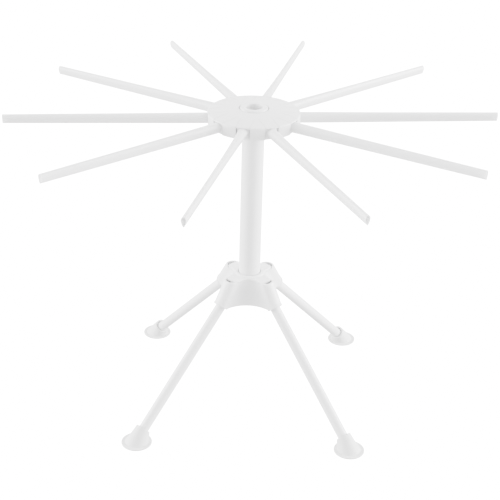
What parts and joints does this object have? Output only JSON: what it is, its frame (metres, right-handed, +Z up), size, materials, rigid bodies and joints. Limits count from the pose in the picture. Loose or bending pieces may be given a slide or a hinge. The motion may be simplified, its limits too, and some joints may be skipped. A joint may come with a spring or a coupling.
{
  "type": "pasta drying rack",
  "caption": "White folding pasta drying rack: a round column on splayed folding legs carries a turning hub with level fold-down arms.",
  "frame": {"origin": "on the floor, on the column axis", "axes": "+Z up the column; the four legs stand on the diagonals of +X and +Y"},
  "size_m": [0.4082, 0.402, 0.2758],
  "materials": {
    "white_plastic": "smooth, half gloss",
    "foot_rubber": "matte white",
    "pin_steel": "plain"
  },
  "bodies": {
    "base": {"base_skirt": "white_plastic", "base_cap": "white_plastic", "column_tube": "white_plastic", "column_head": "white_plastic", "column_screw": "pin_steel", "leg_pin_1": "pin_steel", "leg_pin_2": "pin_steel", "leg_pin_3": "pin_steel", "leg_pin_4": "pin_steel"},
    "hub": {"hub_top": "white_plastic", "hub_bottom": "white_plastic", "hub_screws": "pin_steel", "arm_pin_1": "pin_steel", "arm_pin_2": "pin_steel", "arm_pin_3": "pin_steel", "arm_pin_4": "pin_steel", "arm_pin_5": "pin_steel", "arm_pin_6": "pin_steel", "arm_pin_7": "pin_steel", "arm_pin_8": "pin_steel", "arm_pin_9": "pin_steel", "arm_pin_10": "pin_steel"},
    "arm_1": {"arm_1": "white_plastic"},
    "arm_2": {"arm_2": "white_plastic"},
    "arm_3": {"arm_3": "white_plastic"},
    "arm_4": {"arm_4": "white_plastic"},
    "arm_5": {"arm_5": "white_plastic"},
    "arm_6": {"arm_6": "white_plastic"},
    "arm_7": {"arm_7": "white_plastic"},
    "arm_8": {"arm_8": "white_plastic"},
    "arm_9": {"arm_9": "white_plastic"},
    "arm_10": {"arm_10": "white_plastic"},
    "leg_1": {"leg_1": "white_plastic", "foot_1": "foot_rubber"},
    "leg_2": {"leg_2": "white_plastic", "foot_2": "foot_rubber"},
    "leg_3": {"leg_3": "white_plastic", "foot_3": "foot_rubber"},
    "leg_4": {"leg_4": "white_plastic", "foot_4": "foot_rubber"}
  },
  "joints": [
    {"name": "hub_turn", "type": "hinge", "parent": "base", "child": "hub", "pos_m": [0, 0, 0.266], "axis": [0, 0, 1], "continuous": true},
    {"name": "arm_1_fold", "type": "hinge", "parent": "hub", "child": "arm_1", "pos_m": [0.03083, 0.00329, 0.266], "axis": [-0.1061, 0.9944, 0], "range_deg": [0, 82]},
    {"name": "arm_2_fold", "type": "hinge", "parent": "hub", "child": "arm_2", "pos_m": [0.02301, 0.02078, 0.266], "axis": [-0.6703, 0.7421, 0], "range_deg": [0, 82]},
    {"name": "arm_3_fold", "type": "hinge", "parent": "hub", "child": "arm_3", "pos_m": [0.0064, 0.03033, 0.266], "axis": [-0.9785, 0.2064, 0], "range_deg": [0, 82]},
    {"name": "arm_4_fold", "type": "hinge", "parent": "hub", "child": "arm_4", "pos_m": [-0.01265, 0.0283, 0.266], "axis": [-0.9129, -0.4082, 0], "range_deg": [0, 82]},
    {"name": "arm_5_fold", "type": "hinge", "parent": "hub", "child": "arm_5", "pos_m": [-0.02687, 0.01546, 0.266], "axis": [-0.4986, -0.8668, 0], "range_deg": [0, 82]},
    {"name": "arm_6_fold", "type": "hinge", "parent": "hub", "child": "arm_6", "pos_m": [-0.03083, -0.00329, 0.266], "axis": [0.1061, -0.9944, 0], "range_deg": [0, 82]},
    {"name": "arm_7_fold", "type": "hinge", "parent": "hub", "child": "arm_7", "pos_m": [-0.02301, -0.02078, 0.266], "axis": [0.6703, -0.7421, 0], "range_deg": [0, 82]},
    {"name": "arm_8_fold", "type": "hinge", "parent": "hub", "child": "arm_8", "pos_m": [-0.0064, -0.03033, 0.266], "axis": [0.9785, -0.2064, 0], "range_deg": [0, 82]},
    {"name": "arm_9_fold", "type": "hinge", "parent": "hub", "child": "arm_9", "pos_m": [0.01265, -0.0283, 0.266], "axis": [0.9129, 0.4082, 0], "range_deg": [0, 82]},
    {"name": "arm_10_fold", "type": "hinge", "parent": "hub", "child": "arm_10", "pos_m": [0.02687, -0.01546, 0.266], "axis": [0.4986, 0.8668, 0], "range_deg": [0, 82]},
    {"name": "leg_1_fold", "type": "hinge", "parent": "base", "child": "leg_1", "pos_m": [0.01315, 0.01315, 0.114], "axis": [-0.7071, 0.7071, 0], "range_deg": [0, 44]},
    {"name": "leg_2_fold", "type": "hinge", "parent": "base", "child": "leg_2", "pos_m": [-0.01315, 0.01315, 0.114], "axis": [-0.7071, -0.7071, 0], "range_deg": [0, 44]},
    {"name": "leg_3_fold", "type": "hinge", "parent": "base", "child": "leg_3", "pos_m": [-0.01315, -0.01315, 0.114], "axis": [0.7071, -0.7071, 0], "range_deg": [0, 44]},
    {"name": "leg_4_fold", "type": "hinge", "parent": "base", "child": "leg_4", "pos_m": [0.01315, -0.01315, 0.114], "axis": [0.7071, 0.7071, 0], "range_deg": [0, 44]}
  ]
}
